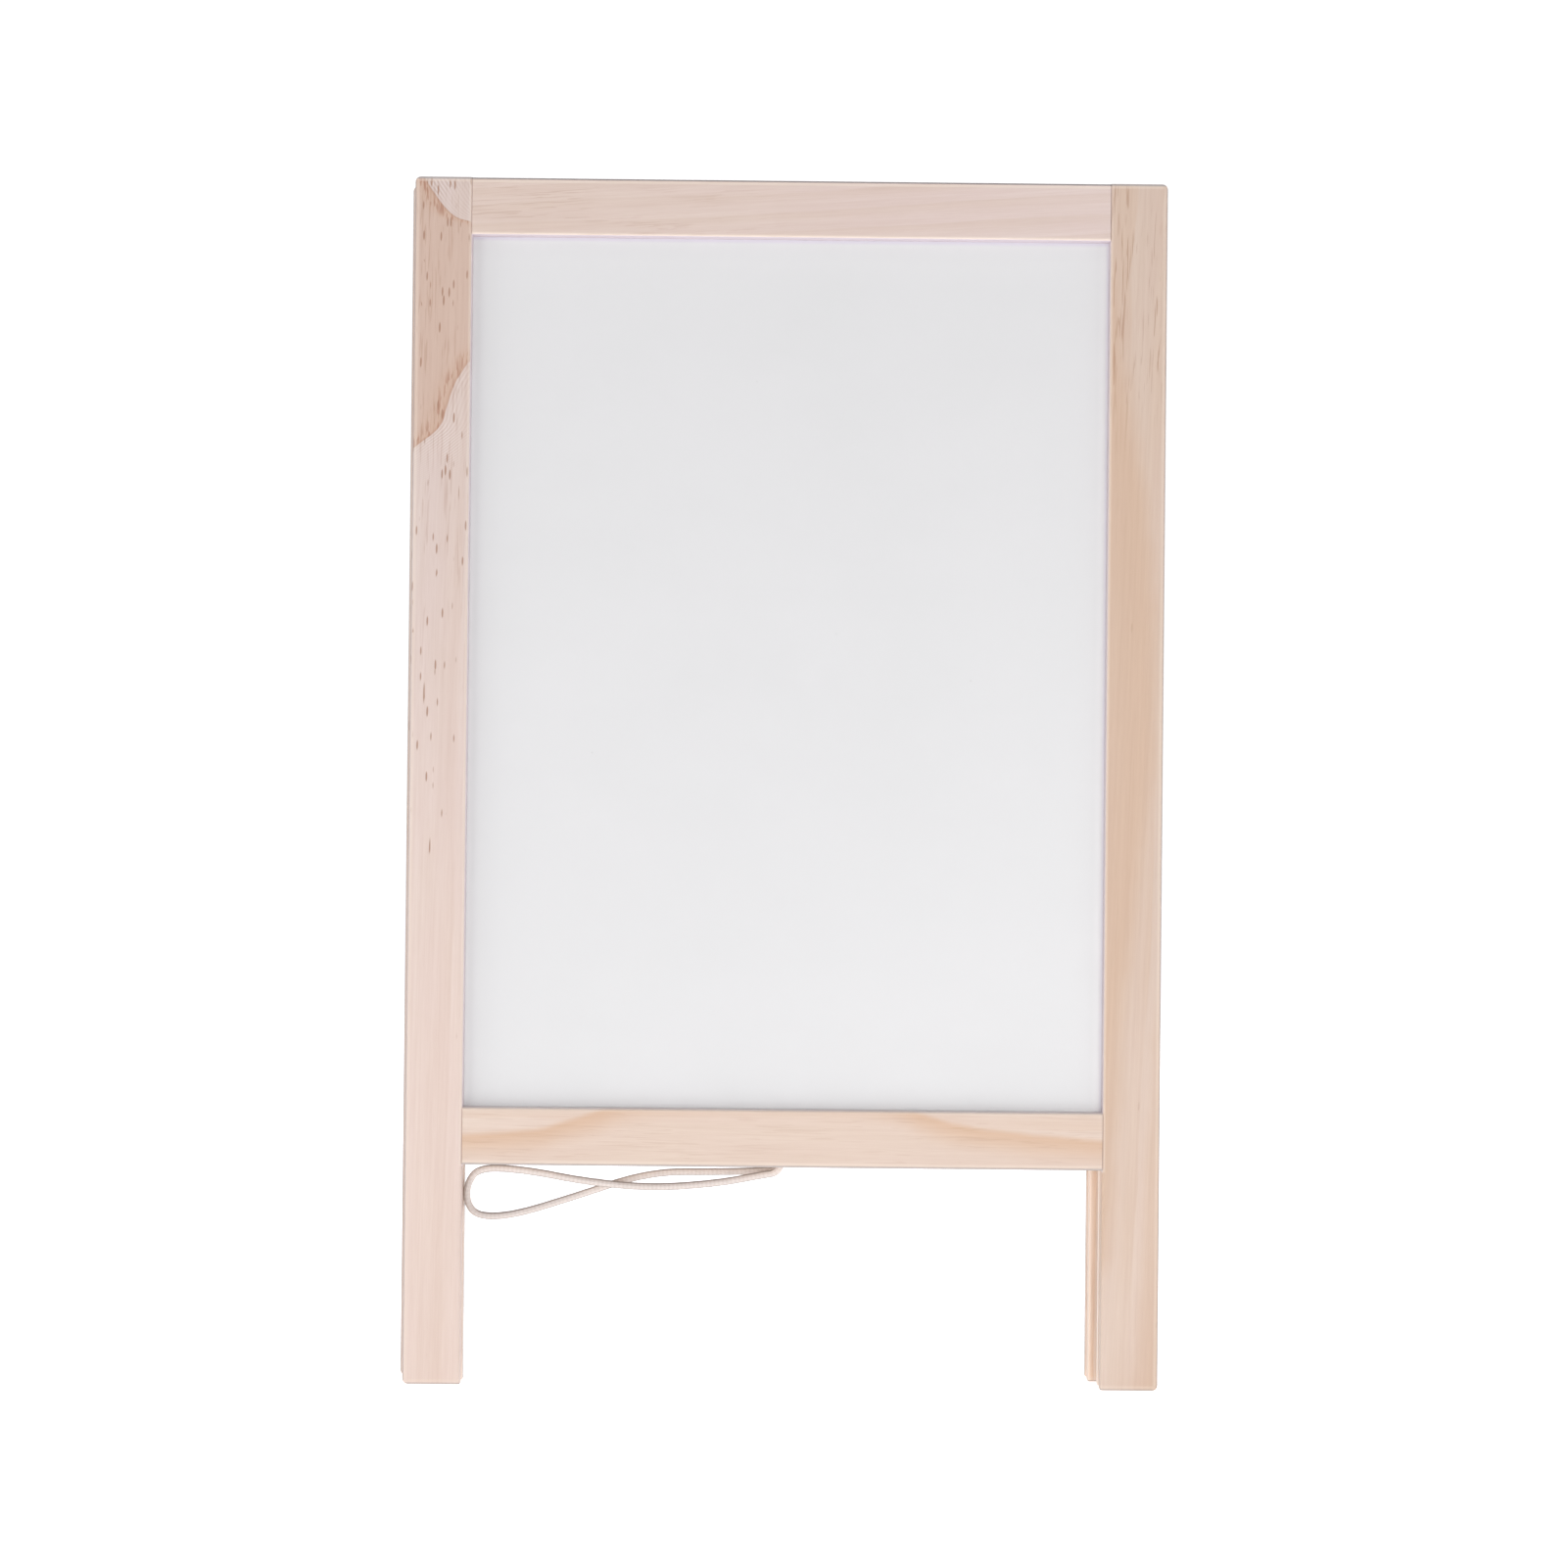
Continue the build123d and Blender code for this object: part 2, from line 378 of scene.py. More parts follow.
# ---------------------------------------------------------------- pine
SHADE_GREY = (0.40, 0.365, 0.35)  # painted shade on arrises
HIGHLIGHT_CREAM = (0.82, 0.71, 0.61)  # painted highlight on arrises
LIT_SIDE_PALE = (1.0, 0.87, 0.76)  # painted light on a leg's inner side, at the back
RESIN = (0.36, 0.20, 0.13)
RUSSET = (0.455, 0.265, 0.19)
BLUSH_TINT = (0.985, 0.965, 0.985)
# Painted shade on the stiles' sides
SIDE_SHADE_TINT = (0.86, 0.87, 0.89)
END_GRAIN = (0.66, 0.48, 0.36), (0.52, 0.34, 0.22)  # early and late wood

# Widths and places in millimetres, and strengths from 0 to 1
stock_half = (front_stile_high.x - front_stile_low.x) / 2 / MM
depth_half = (front_stile_high.y - front_stile_low.y) / 2 / MM
board_low, board_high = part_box("front_board_sheet")
board_middle = (board_low + board_high) / 2 / MM
enamel_depth = -board_low.y / MM  # from the plane between the frames to either enamelled face
leg_top = underside_z / MM
band_slant = 1.4  # how far a band moves along the grain, per millimetre into the piece
fine_line_pitch = 1.35
duct_kinds = (1.7, 9.5, 0.23, 2.0), (3.4, 46.0, 0.10, 47.0)  # (wide, long, size, seed) of a duct's cell
# Painted shade (grey) and painted highlight (cream) on the arrises: how strong, and how far from the arris
rail_arris_light_shade = dict(grey=0.9, grey_to=(0.4, 0.9), cream=0.45, cream_from=(0.7, 1.0), cream_to=(1.4, 1.9))
stile_arris_light_shade = dict(grey=0.8, grey_to=(0.15, 0.6), cream=0.3, cream_from=(0.45, 0.8), cream_to=(1.2, 1.8))
beyond_painted_edges = 10.0  # a distance from an arris that no painted shade or highlight reaches


class Wood(Graph):
    """The nodes of one piece of the frames, with coordinates across and along its grain in millimetres."""

    def __init__(self, node, grain, lean):
        super().__init__(bpy.data.materials.new("pine_" + node))
        self.upright = grain == "z"
        self.across_axis, self.along_axis = (0, 2) if self.upright else (2, 0)
        self.low, self.high = (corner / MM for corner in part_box(node))
        self.middle = (self.low + self.high) / 2
        point = self.split(self.place())
        self.across, self.y, self.along = point[self.across_axis], point[1], point[self.along_axis]
        shift = self.times(self.minus(self.along, self.middle[self.along_axis]), lean)
        self.leant = self.minus(self.across, shift)

    def drawn_out(self, wide, long, seed=0.0):
        """Coordinates for grain features this wide and this long."""
        return self.join(
            self.plus(self.over(self.leant, wide), seed),
            self.over(self.y, wide),
            self.over(self.along, long),
        )

    def streaks(self, wide, long, seed=0.0, detail=1.0, roughness=0.5, distortion=0.0):
        """Noise drawn out along the grain."""
        return self.noise(self.drawn_out(wide, long, seed), 1.0, detail, roughness, distortion)

    def swing(self, wide, long, size, seed=0.0, detail=2.0):
        """Slow wander along the grain, from -size to size."""
        return self.times(self.minus(self.streaks(wide, long, seed, detail), 0.5), 4 * size)


def growth_rings(wood, pith, ring, wander):
    """Late wood from 0 to 1: each ring goes slowly from early to late wood and ends sharply."""
    bend = wood.plus(wood.swing(18.0, 110.0, wander), wood.swing(3.0, 34.0, wander / 5, seed=7.0))
    from_pith = wood.join(wood.minus(wood.leant, pith[0]), wood.minus(wood.y, pith[1]), 0.0)
    radius = wood.vector("LENGTH", from_pith)
    age = wood.math("FRACT", wood.over(wood.plus(radius, bend), ring))
    strength = wood.step(wood.streaks(12.0, 80.0, seed=3.0), 0.3, 0.65, 0.35, 1.0)
    return wood.times(wood.step(age, 0.25, 0.95), wood.fall(age, 0.965, 1.0), strength)


def add_band(wood, late, band):
    """The late wood with this band in it, how far inside the band a point is, and whether it is within."""
    slanted = wood.added(wood.along, wood.minus(wood.y, wood.low.y), band_slant)
    edge = wood.plus(
        wood.curve(slanted, band["edge"]),
        wood.swing(9.0, 16.0, band["sway"], seed=31.0, detail=1.0),
        wood.swing(1.5, 4.0, band["sway"] / 4, seed=33.0),
    )
    inside = wood.times(wood.minus(edge, wood.across), band["side"])
    within = wood.step(inside, -band["soft"], band["soft"])
    strength = wood.step(inside, 0.0, band["fade"], band["depth"], band["stays"])
    rings = wood.times(late, wood.step(inside, -1.0, 1.0, 1.0, 0.5))
    return wood.greatest(rings, wood.times(strength, within)), inside, within


def resin_edge(wood, inside, within):
    """Resin just inside a band's edge, and the fine dark lines outside it."""
    drops = wood.step(wood.streaks(1.0, 7.0, seed=21.0, detail=2.0), 0.50, 0.58)
    drops = wood.times(drops, wood.fall(inside, 1.5, 6.5))
    resin = wood.times(wood.greatest(drops, wood.fall(inside, 0.1, 1.4, 0.5)), within)
    waves = wood.math("SINE", wood.times(inside, 2 * pi / fine_line_pitch))
    near = wood.times(wood.step(inside, -34.0, -8.0), wood.fall(inside, -0.9, -0.3))
    patches = wood.step(wood.streaks(11.0, 22.0, seed=11.0), 0.42, 0.6, 0.3, 1.0)
    return resin, wood.times(waves, near, patches)


def shading(wood, fibres, fine_lines, dashes):
    """Streaks, fibres, fine lines and dashes as one colour to multiply by, warmer where it is darker."""
    streaks = wood.streaks(0.9, 40.0, detail=3.0, roughness=0.6)
    shade = wood.added(1.0, wood.minus(streaks, 0.5), 0.13)
    shade = wood.added(shade, wood.minus(fibres, 0.5), 0.09)
    shade = wood.added(shade, fine_lines, -0.085)
    depth, start, end = dashes
    dashed = wood.times(
        wood.step(wood.streaks(0.6, 14.0, seed=13.0, distortion=0.6), 0.56, 0.66),
        wood.step(wood.streaks(6.0, 40.0, seed=17.0), 0.38, 0.52, 0.1, 1.0),
        wood.step(wood.along, start, end),
    )
    shade = wood.added(shade, dashed, -0.22 * depth)
    return wood.join(shade, wood.math("POWER", shade, 1.5), wood.math("POWER", shade, 1.8))


def resin_ducts(wood, flecks, crowd):
    """Short dark ducts, cut lengthwise, in a share of the cells that could have one."""
    more, start, end = crowd
    share = wood.added(flecks, wood.step(wood.along, start, end), more)
    share = wood.times(share, wood.step(wood.streaks(14.0, 40.0, seed=51.0), 0.38, 0.58, 0.35, 1.25))
    ducts = []
    for wide, long, size, seed in duct_kinds:
        distance, chance = wood.cells(wood.drawn_out(wide, long, seed))
        chosen = wood.step(wood.plus(chance, share), 1.0, 1.03)
        ducts.append(wood.times(wood.fall(distance, 0.55 * size, size), chosen))
    return wood.greatest(*ducts)


def with_arrises(wood, tone, leg_arris_shade, leg_back_light, recess):
    """The tone, with painted highlights round the board's opening and painted shade on the outer arrises."""
    middle = wood.middle
    outward = 1 if middle[wood.across_axis] > board_middle[wood.across_axis] else -1
    offset = wood.times(wood.minus(wood.across, middle[wood.across_axis]), outward)
    from_outside = wood.minus(stock_half, offset)
    from_inside = wood.plus(stock_half, offset)
    from_face = wood.minus(depth_half, wood.absolute(wood.minus(wood.y, middle.y)))
    from_top = wood.minus(wood.high[wood.along_axis], wood.along)
    from_foot = wood.minus(wood.along, wood.low[wood.along_axis])
    by_board = wood.step(wood.along, leg_top - 1.0, leg_top) if wood.upright else 1.0

    # Round the opening: painted highlights on the arrises, and painted light and shade on the sides in front
    # of the board
    cream = wood.times(wood.fall(wood.plus(from_inside, from_face), 0.3, 1.3, 0.5), by_board)
    tone = wood.mix(cream, tone, HIGHLIGHT_CREAM)
    # Painted light and shade: the sides in front of the board take the recess colour, standing in for how
    # they are lit
    inner_side = wood.times(wood.fall(from_inside, 0.05, 0.3, 0.6), by_board)
    before_board = wood.step(wood.absolute(wood.y), enamel_depth - 0.5, enamel_depth)
    tone = wood.mix(wood.times(inner_side, before_board), tone, recess)

    # The inner side of a leg: painted light at the back, with a strip of painted shade along its hindmost
    # edge
    if leg_back_light:
        leg_side = wood.times(wood.fall(from_inside, 0.2, 0.8), wood.minus(1.0, by_board))
        backward = wood.step(wood.y, middle.y - 4.0, middle.y + 2.0, 0.0, leg_back_light)
        tone = wood.mix(wood.times(backward, leg_side), tone, LIT_SIDE_PALE)
        hindmost_shade = wood.step(wood.y, middle.y + 2.0, middle.y + 4.0, 0.0, leg_arris_shade[1] * 0.7)
        tone = wood.mix(wood.times(hindmost_shade, leg_side), tone, SHADE_GREY)

    # Outer arrises: painted shade at the edge itself, a painted highlight just inside it
    from_air = from_outside
    lit_and_shaded = stile_arris_light_shade if wood.upright else rail_arris_light_shade
    if wood.upright:
        no_leg_shade = wood.step(wood.y, middle.y - 1.0, middle.y + 1.0, 1.0 - leg_arris_shade[0], 1.0 - leg_arris_shade[1])
        from_leg_side = wood.added(from_inside, wood.greatest(by_board, no_leg_shade), beyond_painted_edges)
        from_air = wood.least(from_outside, from_leg_side, from_foot, from_top)
    outer_arris_shade = wood.fall(from_air, *lit_and_shaded["grey_to"], lit_and_shaded["grey"])
    if wood.upright:
        outer_arris_shade = wood.greatest(outer_arris_shade, wood.fall(from_top, *rail_arris_light_shade["grey_to"], rail_arris_light_shade["grey"]))
    outer_arris_highlight = wood.times(
        wood.step(from_air, *lit_and_shaded["cream_from"]),
        wood.fall(from_air, *lit_and_shaded["cream_to"], lit_and_shaded["cream"]),
        wood.fall(from_face, 0.6, 1.2),
    )
    tone = wood.mix(outer_arris_highlight, tone, HIGHLIGHT_CREAM)
    return wood.mix(wood.times(outer_arris_shade, wood.fall(from_face, 0.5, 1.8)), tone, SHADE_GREY)


def with_side_shade_and_end_grain(wood, tone, late):
    """The tone, with painted shade that makes the stiles' sides a little greyer than the faces, and darker on
    end grain.
    """
    facing = wood.split(wood.node("ShaderNodeTexCoord").outputs["Normal"])
    if wood.upright:
        # Painted shade on the sides
        tone = wood.tint(tone, SIDE_SHADE_TINT, wood.step(wood.absolute(facing[wood.across_axis]), 0.75, 0.98))
    end_grain = wood.step(wood.absolute(facing[wood.along_axis]), 0.6, 0.95, 0.0, 0.75)
    return wood.mix(end_grain, tone, wood.mix(late, *END_GRAIN))


def pine(
    node, grain, pale, pale_end, tan, pith, ring, lean=0.0, contrast=0.4, wander=1.2, turn=None,
    flecks=0.1, crowd=(0.0, 0.0, 1.0), dashes=(0.25, -500.0, -400.0), bands=(), leg_arris_shade=(1.0, 1.0),
    leg_back_light=0.0, recess=(0.93, 0.875, 0.885),
):
    """Sawn pine for one piece of the frames, whose grain runs along x or z. All lengths are millimetres.

    The early wood goes from pale at the low end of the grain to pale_end at the high end, or between the two
    places of turn, and the late wood is tan. Growth rings lie round the pith line (across, depth), ring
    apart, and lean across the piece. flecks is the share of places that have a resin duct, crowd is
    (more, from, to) along the grain, and dashes are (strength, from, to). Each band is one broad figure of
    late wood, on one side of an edge that is given as points (along, across). leg_arris_shade is the painted
    shade on the inner arrises of a leg, front and back, and leg_back_light is how strong the painted light is
    on the back
    of its inner side. recess is a painted colour for the sides round a board, standing in for how they are
    lit:
    pale and cool on some, darker where they lie in shade.
    """
    wood = Wood(node, grain, lean)
    late = wood.times(growth_rings(wood, pith, ring, wander), contrast)
    resin, fine_lines = 0.0, 0.0
    for band in bands:
        late, inside, within = add_band(wood, late, band)
        if band.get("resinous"):
            resin, fine_lines = resin_edge(wood, inside, within)

    turn_from, turn_to = turn or (wood.low[wood.along_axis], wood.high[wood.along_axis])
    early = wood.mix(wood.step(wood.along, turn_from, turn_to), pale, pale_end)
    blush = wood.step(wood.streaks(9.0, 60.0, seed=5.0, detail=2.0), 0.35, 0.7, 0.0, 0.5)
    tone = wood.mix(late, wood.tint(early, BLUSH_TINT, blush), tan)
    tone = wood.mix(resin, tone, RUSSET)
    fibres = wood.streaks(0.16, 7.0, detail=2.0, roughness=0.6)
    tone = wood.tint(tone, shading(wood, fibres, fine_lines, dashes))
    ducts = resin_ducts(wood, flecks, crowd)
    tone = wood.mix(wood.times(ducts, 0.8), tone, RESIN)
    tone = with_arrises(wood, tone, leg_arris_shade, leg_back_light, recess)

    relief = wood.minus(wood.plus(wood.times(fibres, 0.6), wood.times(late, 0.5)), wood.times(ducts, 1.2))
    return wood.surface({
        "Base Color": with_side_shade_and_end_grain(wood, tone, late),
        "Roughness": wood.step(wood.added(fibres, late, -0.3), 0.1, 0.9, 0.5, 0.68),
        "Normal": wood.bump(relief, 0.00005, 0.7),
        "Specular IOR Level": 0.3,
    })


pine_pieces = {
    "front_left_stile": dict(
        grain="z", pale=(0.740, 0.604, 0.526), pale_end=(0.645, 0.540, 0.488), tan=(0.580, 0.410, 0.315),
        pith=(-133.0, -26.0), ring=14.5, lean=0.018, contrast=0.2, flecks=0.03, crowd=(1.25, 150.0, 285.0),
        dashes=(0.5, 200.0, 300.0), leg_arris_shade=(0.0, 1.0), leg_back_light=0.8, recess=(0.93, 0.83, 0.89),
        bands=[
            dict(
                edge=[
                    (255.0, -260.0), (303.0, -134.0), (312.0, -120.5), (317.0, -115.0), (323.0, -112.8),
                    (331.0, -110.0), (339.0, -105.0), (348.0, -98.0), (372.0, -94.0), (383.5, -100.0),
                    (386.5, -109.5), (390.0, -114.0), (396.0, -118.5), (401.0, -121.5),
                ],
                side=1, soft=0.3, fade=9.0, depth=1.0, stays=0.72, sway=0.35, resinous=True,
            ),
        ],
    ),
    "front_right_stile": dict(
        grain="z", pale=(0.692, 0.558, 0.463), pale_end=(0.635, 0.505, 0.412), tan=(0.590, 0.405, 0.278),
        pith=(104.0, -21.0), ring=10.5, lean=0.03, contrast=0.3, wander=1.8, turn=(20.0, 175.0), flecks=0.015,
        dashes=(0.9, 300.0, 350.0), leg_arris_shade=(0.0, 0.0), leg_back_light=0.9, recess=(0.70, 0.64, 0.72),
        bands=[
            dict(
                edge=[
                    (0.0, 102.0), (33.0, 106.0), (50.0, 110.6), (87.0, 112.2), (120.0, 113.5), (152.0, 117.5),
                    (185.0, 121.0), (233.0, 124.0), (285.0, 121.5), (335.0, 113.0), (400.0, 107.0),
                ],
                side=1, soft=5.0, fade=30.0, depth=0.68, stays=0.4, sway=0.8,
            ),
            dict(
                edge=[
                    (0.0, 116.5), (22.0, 118.5), (55.0, 120.5), (87.0, 122.5), (120.0, 124.5), (150.0, 133.0),
                ],
                side=-1, soft=2.5, fade=9.0, depth=0.36, stays=0.6, sway=0.8,
            ),
        ],
    ),
    "front_top_rail": dict(
        grain="x", pale=(0.680, 0.557, 0.480), pale_end=(0.700, 0.578, 0.523), tan=(0.623, 0.484, 0.391),
        pith=(330.0, -40.0), ring=6.0, lean=0.06, contrast=0.35, flecks=0.01, dashes=(0.45, 40.0, -70.0),
        recess=(0.62, 0.56, 0.68),
    ),
    "front_bottom_rail": dict(
        grain="x", pale=(0.725, 0.597, 0.500), pale_end=(0.710, 0.580, 0.487), tan=(0.650, 0.448, 0.312),
        pith=(130.0, -33.0), ring=12.0, lean=-0.01, contrast=0.25, flecks=0.01,
        bands=[
            dict(
                edge=[
                    (-130.0, 82.0), (-104.0, 83.0), (-83.0, 84.2), (-73.0, 86.5), (-60.0, 90.5),
                    (-45.0, 95.0), (-20.0, 97.0), (25.0, 97.0), (48.0, 90.5), (62.0, 87.0), (80.0, 84.8),
                    (107.0, 82.3), (130.0, 81.0),
                ],
                side=1, soft=1.3, fade=10.0, depth=0.95, stays=0.1, sway=0.4,
            ),
        ],
    ),
    "rear_left_stile": dict(
        grain="z", pale=(0.744, 0.595, 0.502), pale_end=(0.707, 0.567, 0.474), tan=(0.632, 0.456, 0.344),
        pith=(-140.0, 24.0), ring=9.0, lean=0.01, contrast=0.6, flecks=0.08,
    ),
    "rear_right_stile": dict(
        grain="z", pale=(0.88, 0.725, 0.60), pale_end=(0.76, 0.61, 0.505), tan=(0.82, 0.605, 0.455),
        pith=(96.0, 27.0), ring=6.0, lean=0.006, contrast=0.15, flecks=0.03, turn=(60.0, 110.0),
        leg_arris_shade=(0.0, 1.0), leg_back_light=0.05,
        bands=[
            dict(
                edge=[(0.0, 106.6), (40.0, 106.9), (400.0, 109.0)],
                side=1, soft=0.35, fade=2.2, depth=1.0, stays=0.0, sway=0.15,
            ),
        ],
    ),
    "rear_top_rail": dict(
        grain="x", pale=(0.725, 0.586, 0.493), pale_end=(0.707, 0.567, 0.474), tan=(0.642, 0.465, 0.353),
        pith=(372.0, 30.0), ring=7.0, lean=0.02, contrast=0.55, flecks=0.05,
    ),
    "rear_bottom_rail": dict(
        grain="x", pale=(0.753, 0.609, 0.512), pale_end=(0.735, 0.595, 0.502), tan=(0.651, 0.474, 0.353),
        pith=(66.0, 28.0), ring=8.0, lean=0.015, contrast=0.55, flecks=0.05,
    ),
}
for node, figure in pine_pieces.items():
    dress(node, pine(node, **figure))


# ---------------------------------------------------------------- boards
ENAMEL = (0.70, 0.705, 0.695), (0.725, 0.725, 0.72)
SPECK = (0.35, 0.34, 0.33)
# Painted shade: tints for the enamel along its borders and below the top rail
BORDER_SHADE_TINT = (0.91, 0.87, 0.96)
TOP_SHADE_TINT = (0.94, 0.945, 0.945)
cloud_size = 55.0
speck_spacing = 9.0
# Painted light: the enamel is brightened close to the frame, against the shade the frame casts there: the
# strip's width in millimetres, and how much brighter it is
brightened_left = (2.5, 1.12)
brightened_right = (4.0, 1.17)
brightened_bottom = (1.0, 1.4)

FIBREBOARD = (0.36, 0.22, 0.125), (0.55, 0.37, 0.235)
FIBREBOARD_CLOUD = (0.33, 0.21, 0.13)
FIBREBOARD_SPECK = (0.18, 0.10, 0.06)
fibreboard_cloud_size = 30.0


def enamel(side):
    """Satin white enamel on steel: faint orange peel, a few specks, nearly wiped-off smears, painted shade
    along the top and right borders, and painted light close to the frame.
    """
    left_stile, right_stile = (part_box(f"{side}_{hand}_stile") for hand in ("left", "right"))
    bottom_rail, top_rail = (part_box(f"{side}_{level}_rail") for level in ("bottom", "top"))
    g = new_material(side + "_white_enamel")
    place = g.place()
    x, _, z = g.split(place)
    from_left = g.minus(x, left_stile[1].x / MM)
    from_right = g.minus(right_stile[0].x / MM, x)
    from_bottom = g.minus(z, bottom_rail[1].z / MM)
    from_top = g.minus(top_rail[0].z / MM, z)

    tone = g.mix(g.noise(place, 1 / cloud_size), *ENAMEL)
    distance, chance = g.cells(place, 1 / speck_spacing)
    speck = g.times(g.fall(distance, 0.015, 0.035), g.step(chance, 0.90, 0.93), 0.35)
    tone = g.mix(speck, tone, SPECK)
    # Painted light close to the frame
    painted_light = g.greatest(
        g.step(from_left, 0.0, *brightened_left, 1.0),
        g.step(from_right, 0.0, *brightened_right, 1.0),
        g.step(from_bottom, 0.0, *brightened_bottom, 1.0),
    )
    tone = g.tint(tone, g.join(painted_light, painted_light, painted_light))
    # Painted shade along the top and right borders, and a wider, fainter painted shade below the top rail
    border_shade = g.greatest(g.fall(from_top, 0.2, 1.6), g.fall(from_right, 0.2, 1.2, 0.6))
    tone = g.tint(tone, BORDER_SHADE_TINT, border_shade)
    tone = g.tint(tone, TOP_SHADE_TINT, g.fall(from_top, 1.0, 9.0))
    smears = g.noise(g.vector("MULTIPLY", place, (0.018, 0.018, 0.05)), 1.0, 3.0, 0.6, 0.8)
    return g.surface({
        "Base Color": tone,
        "Roughness": g.step(smears, 0.3, 0.7, 0.30, 0.42),
        "Normal": g.bump(g.noise(place, 0.7), 0.000012, 0.6),
    })


def fibreboard():
    """Brown pressed fibreboard: short felted fibres and darker specks."""
    g = new_material("fibreboard")
    place = g.place()
    felt = g.noise(place, 1.6, 4.0, 0.65, 1.2)
    tone = g.mix(felt, *FIBREBOARD)
    clouds = g.times(g.noise(place, 1 / fibreboard_cloud_size), 0.35)
    tone = g.mix(clouds, tone, FIBREBOARD_CLOUD)
    specks = g.step(g.noise(place, 3.1, 1.0), 0.68, 0.76, 0.0, 0.5)
    return g.surface({
        "Base Color": g.mix(specks, tone, FIBREBOARD_SPECK),
        "Roughness": g.step(felt, 0.3, 0.7, 0.48, 0.62),
        "Normal": g.bump(felt, 0.00004, 0.6),
    })


pressed_fibreboard = fibreboard()
for side in ("front", "rear"):
    dress(side + "_board_sheet", enamel(side))
    dress(side + "_board_core", pressed_fibreboard)


# ---------------------------------------------------------------- hinge metal and cord
HINGE_NICKEL = (0.74, 0.72, 0.67)
SCREW_NICKEL = (0.80, 0.78, 0.73)
TARNISH = (0.50, 0.46, 0.40)
COTTON = (0.655, 0.575, 0.525), (0.72, 0.65, 0.605)  # between the strands and on them
FUZZ = (0.76, 0.70, 0.655)
# Painted shade on the cord's upper side and underside
CORD_SHADE = (0.265, 0.23, 0.21)


def nickel(name, colour, roughness):
    """Nickel plate with fine rolling scratches along X."""
    g = new_material(name)
    place = g.place()
    scratches = g.noise(g.vector("MULTIPLY", place, (0.25, 9.0, 9.0)), 1.0, 3.0, 0.7)
    tarnish = g.step(g.noise(place, 0.35, 3.0), 0.4, 0.75, 0.0, 0.5)
    return g.surface({
        "Base Color": g.mix(tarnish, colour, TARNISH),
        "Roughness": g.step(scratches, 0.3, 0.7, roughness - 0.07, roughness + 0.10),
        "Normal": g.bump(scratches, 0.00001, 0.5),
        "Metallic": 1.0,
    })


def cotton_cord():
    """Plaited cotton: strands crossing each other along the tube's own coordinates, and loose fuzz."""
    pitch = 1.15  # one turn of a strand, in cord diameters
    g = new_material("cotton_cord")
    around, along, _ = g.split(g.node("ShaderNodeUVMap", uv_map="cord").outputs[0])
    turn = g.times(around, 2 * pi * cord_strands / 2)
    rise = g.times(along, 2 * pi / pitch)
    plait = g.times(g.math("COSINE", g.plus(turn, rise)), g.math("COSINE", g.minus(turn, rise)))
    fuzz = g.noise(g.place(), 5.0, 3.0, 0.7)
    tone = g.mix(g.step(plait, -0.9, 0.6), *COTTON)
    tone = g.mix(g.step(fuzz, 0.45, 0.75, 0.0, 0.5), tone, FUZZ)
    # Painted shade: darker along its upper side and its underside, by which way the surface faces
    upward = g.split(g.node("ShaderNodeNewGeometry").outputs["Normal"])[2]
    shaded_sides = g.plus(g.step(upward, 0.5, 0.95, 0.0, 0.75), g.fall(upward, -0.95, -0.55, 0.8))
    return g.surface({
        "Base Color": g.mix(shaded_sides, tone, CORD_SHADE),
        "Roughness": 0.85,
        "Normal": g.bump(g.added(plait, fuzz, 0.6), 0.00006, 0.8),
        "Specular IOR Level": 0.2,
    })


cord.data.materials.append(cotton_cord())
hinge_nickel = nickel("hinge_nickel", HINGE_NICKEL, 0.30)
for hand in ("left", "right"):
    for part in ("hinge_front_leaf", "hinge_rear_leaf", "hinge_pin"):
        dress(f"{hand}_{part}", hinge_nickel)

# ---------------------------------------------------------------- hinge screws
screw_nickel = nickel("screw_nickel", SCREW_NICKEL, 0.24)
shank_radius = 0.001
head_bevel = 0.00012
recess_arm = 0.00105  # from the middle to an arm's end
recess_half_width = 0.00026
recess_depth = 0.00085
recess_taper = 0.5  # the recess's floor, as a share of its mouth
thread_pitch = 0.0011
thread_depth = 0.00027
tip_length = 0.0018
rings_per_turn = 8  # of the thread


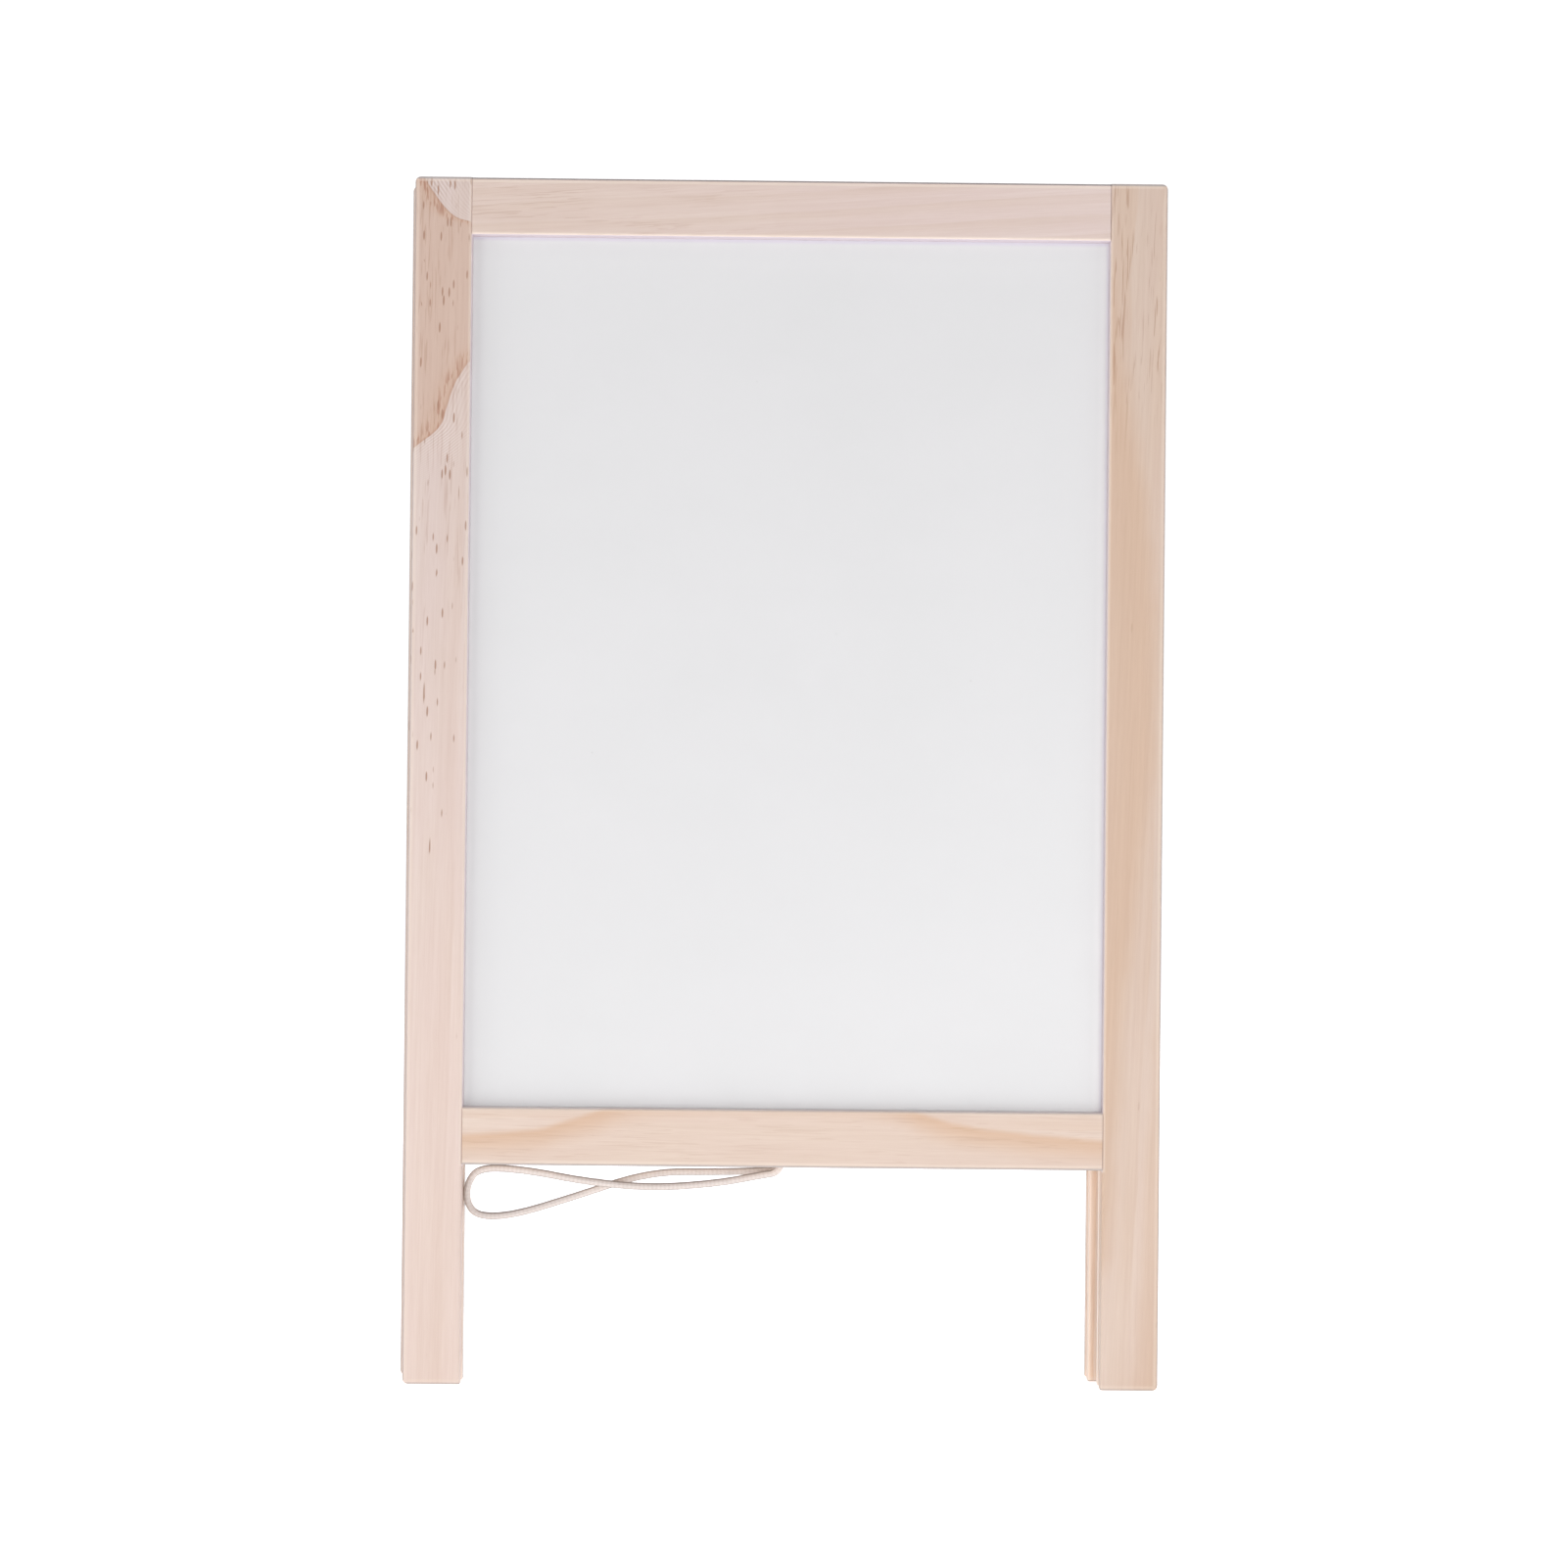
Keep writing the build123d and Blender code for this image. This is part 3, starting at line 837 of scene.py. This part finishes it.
def add_screw(mesh, seat, inward, head_radius, length):
    """One countersunk cross-recess wood screw: its head's face is at seat, its point is length inward."""
    arm, half = recess_arm, recess_half_width
    quarter = [(arm, -half), (arm, half), (half, half)]
    cross = [Vector(point).to_3d() for point in quarter]
    for turn in range(3):
        cross += [Vector((-point.y, point.x, 0)) for point in cross[-3:]]
    angles = []
    for start, end in zip(cross, cross[1:] + cross[:1]):
        first = atan2(start.y, start.x)
        sweep = (atan2(end.y, end.x) - first) % (2 * pi)
        angles += [first, first + sweep / 2]

    def at(x, z, depth):
        return mesh.verts.new(seat + Vector((x, inward * depth, z)))

    def circle(radius_at, depth):
        return [at(radius_at(angle) * cos(angle), radius_at(angle) * sin(angle), depth) for angle in angles]

    def join_rings(outer, inner):
        for number in range(len(outer)):
            after = (number + 1) % len(outer)
            mesh.faces.new((outer[number], outer[after], inner[after], inner[number]))

    mouth = [at(point.x, point.y, 0) for point in cross]
    floor_of_recess = [at(point.x * recess_taper, point.y * recess_taper, recess_depth) for point in cross]
    face = circle(lambda angle: head_radius - head_bevel, 0)
    for number in range(len(mouth)):
        after = (number + 1) % len(mouth)
        rim = [face[2 * number], face[2 * number + 1], face[2 * after]]
        mesh.faces.new([mouth[after], mouth[number], *rim])
    join_rings(mouth, floor_of_recess)
    mesh.faces.new(floor_of_recess)
    rings = [face, circle(lambda angle: head_radius, head_bevel)]
    depth = head_radius - shank_radius + head_bevel  # where the head's cone meets the shank
    while depth < length - thread_depth:
        tip = min((length - depth) / tip_length, 1.0)

        def threaded(angle, depth=depth, tip=tip):
            phase = (angle / (2 * pi) + depth / thread_pitch) % 1.0
            return tip * (shank_radius - thread_depth * abs(2 * phase - 1))

        rings.append(circle(threaded, depth))
        depth += thread_pitch / rings_per_turn
    for outer, inner in zip(rings, rings[1:]):
        join_rings(outer, inner)
    mesh.faces.new(rings[-1])


for side, inward in (("front", FRONT), ("rear", REAR)):
    low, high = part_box(side + "_hinge_screws")
    head_radius = (high.z - low.z) / 2
    length = high.y - low.y
    face_y = high.y if inward == FRONT else low.y
    screws = bmesh.new()
    for hand in ("left", "right"):
        leaf_low, leaf_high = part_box(f"{hand}_hinge_{side}_leaf")
        middle_x = (leaf_low.x + leaf_high.x) / 2
        nearest = low.x + head_radius if hand == "left" else high.x - head_radius
        for x in (nearest, 2 * middle_x - nearest):
            add_screw(screws, Vector((x, face_y, low.z + head_radius)), inward, head_radius, length)
    bmesh.ops.recalc_face_normals(screws, faces=screws.faces)
    screws_mesh = bpy.data.meshes.new(side + "_cross_screws")
    screws.to_mesh(screws_mesh)
    screws.free()
    piece = add_object(side + "_cross_screws", screws_mesh)
    screws_mesh.materials.append(screw_nickel)
    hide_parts(side + "_hinge_screws")
    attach(piece, side + "_frame")

# ---------------------------------------------------------------- floor and light
floor_reach = 20.0
floor_drop = 0.0002  # below the feet
floor_grey = 0.80
floor_glow = 0.82  # the pale floor also lights the easel from below
HORIZON = (0.47, 0.46, 0.49)
ZENITH = (0.22, 0.21, 0.24)
zenith_from = 0.9  # the height, from 0 at the horizon to 1 overhead, above which all is the zenith's colour
backdrop_strength = 1.05

floor_mesh = bpy.data.meshes.new("floor")
floor_corners = [
    (x * floor_reach, y * floor_reach, -floor_drop) for x, y in ((-1, -1), (1, -1), (1, 1), (-1, 1))
]
floor_mesh.from_pydata(floor_corners, [], [(0, 1, 2, 3)])
floor_mesh.materials.append(new_material("floor").surface({
    "Base Color": (floor_grey, floor_grey, floor_grey, 1),
    "Roughness": 0.9,
    "Emission Color": (1, 1, 1, 1),
    "Emission Strength": floor_glow,
}))
floor = add_object("floor", floor_mesh)

# The studio: a soft sky that lights the easel, and a plain white backdrop for the camera
studio = Graph(bpy.data.worlds.new("studio"))
scene.world = studio.owner
height = studio.split(studio.node("ShaderNodeTexCoord").outputs["Generated"])[2]
sky = studio.tree.nodes["Background"]
overhead = studio.math("DIVIDE", height, zenith_from, clamp=True)
studio.feed(sky.inputs["Color"], studio.mix(overhead, HORIZON, ZENITH))
studio.feed(sky.inputs["Strength"], 1.0)
backdrop = studio.node("ShaderNodeBackground")
studio.feed(backdrop.inputs["Color"], (1, 1, 1, 1))
studio.feed(backdrop.inputs["Strength"], backdrop_strength)
seen = studio.node("ShaderNodeLightPath").outputs["Is Camera Ray"]
either = studio.node("ShaderNodeMixShader")
studio.feed_all(either.inputs, (seen, sky.outputs[0], backdrop.outputs[0]))
studio.feed(studio.tree.nodes["World Output"].inputs["Surface"], either.outputs[0])


def softbox(name, place, aim, width, height, power):
    data = bpy.data.lights.new(name, "AREA")
    data.shape = "RECTANGLE"
    data.size = width
    data.size_y = height
    data.energy = power
    lamp = add_object(name, data)
    lamp.location = place
    lamp.rotation_euler = (Vector(aim) - Vector(place)).to_track_quat("-Z", "Y").to_euler()


softbox("key", place=(-0.85, -1.00, 0.10), aim=(0.0, 0.0, 0.15), width=0.5, height=0.5, power=2.52)
softbox("left_fill", place=(-1.10, -0.35, 0.12), aim=(0.05, 0.0, 0.10), width=0.5, height=0.5, power=2.60)
softbox("right_fill", place=(0.45, -0.85, 0.12), aim=(0.05, 0.0, 0.15), width=0.5, height=0.5, power=1.69)
softbox("back_fill", place=(0.70, 1.30, 0.25), aim=(0.0, 0.0, 0.20), width=0.8, height=0.8, power=3.2)
softbox("side_fill", place=(1.20, 0.35, 0.30), aim=(0.12, 0.0, 0.20), width=0.6, height=0.6, power=2.5)
softbox("top_fill", place=(0.0, 0.70, 1.35), aim=(0.0, 0.0, 0.30), width=0.8, height=0.8, power=7.5)
softbox("low_light", place=(0.05, -0.50, 0.032), aim=(0.05, 0.0, 0.032), width=0.5, height=0.05, power=0.30)
